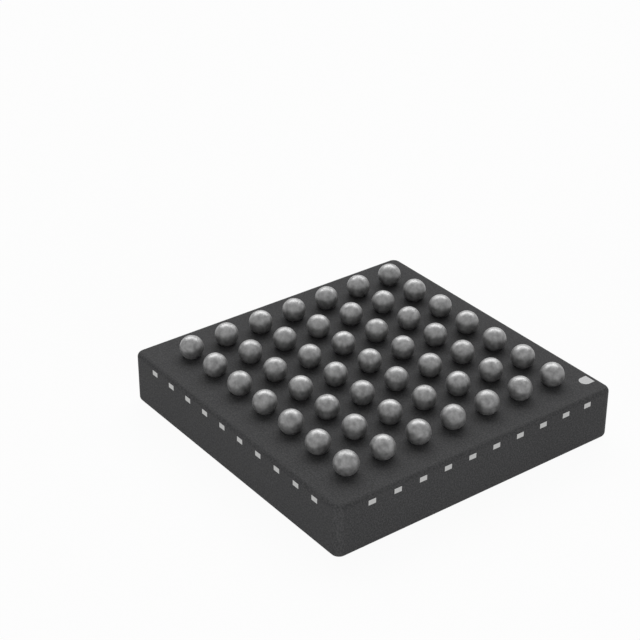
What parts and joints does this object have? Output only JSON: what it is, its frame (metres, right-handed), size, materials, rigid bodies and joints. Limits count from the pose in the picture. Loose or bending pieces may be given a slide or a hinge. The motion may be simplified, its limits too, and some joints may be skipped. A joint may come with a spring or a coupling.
{
  "type": "ball grid array chip",
  "caption": "Thin square moulded chip package with a square grid of solder balls on one face, plated lead ends flush along its sides and a small index mark in one corner.",
  "frame": {"origin": "middle of the flat moulded face that the chip lies on", "axes": "+Z out of the ball face, along the balls; +X and +Y along the sides, with the index mark and ball A1 in the +X +Y corner"},
  "size_m": [0.004, 0.004, 0.0009],
  "materials": {
    "mould_compound": "fine matte charcoal moulding compound",
    "solder": "satin grey tin alloy",
    "lead_frame": "sheared and plated copper alloy",
    "index_metal": "pale matte plating",
    "bond_wire": "bright gold",
    "silicon": "polished silicon",
    "attach_film": "silver-filled epoxy"
  },
  "bodies": {
    "root": {"ball_a1": "solder", "ball_a2": "solder", "ball_a3": "solder", "ball_a4": "solder", "ball_a5": "solder", "ball_a6": "solder", "ball_a7": "solder", "ball_b1": "solder", "ball_b2": "solder", "ball_b3": "solder", "ball_b4": "solder", "ball_b5": "solder", "ball_b6": "solder", "ball_b7": "solder", "ball_c1": "solder", "ball_c2": "solder", "ball_c3": "solder", "ball_c4": "solder", "ball_c5": "solder", "ball_c6": "solder", "ball_c7": "solder", "ball_d1": "solder", "ball_d2": "solder", "ball_d3": "solder", "ball_d4": "solder", "ball_d5": "solder", "ball_d6": "solder", "ball_d7": "solder", "ball_e1": "solder", "ball_e2": "solder", "ball_e3": "solder", "ball_e4": "solder", "ball_e5": "solder", "ball_e6": "solder", "ball_e7": "solder", "ball_f1": "solder", "ball_f2": "solder", "ball_f3": "solder", "ball_f4": "solder", "ball_f5": "solder", "ball_f6": "solder", "ball_f7": "solder", "ball_g1": "solder", "ball_g2": "solder", "ball_g3": "solder", "ball_g4": "solder", "ball_g5": "solder", "ball_g6": "solder", "ball_g7": "solder", "mould_body": "mould_compound", "die": "silicon", "die_attach": "attach_film", "die_paddle": "lead_frame", "leads_front": "lead_frame", "leads_right": "lead_frame", "leads_back": "lead_frame", "leads_left": "lead_frame", "signal_wires": "bond_wire", "ground_wires": "bond_wire", "pin_1_mark": "index_metal"}
  },
  "joints": []
}
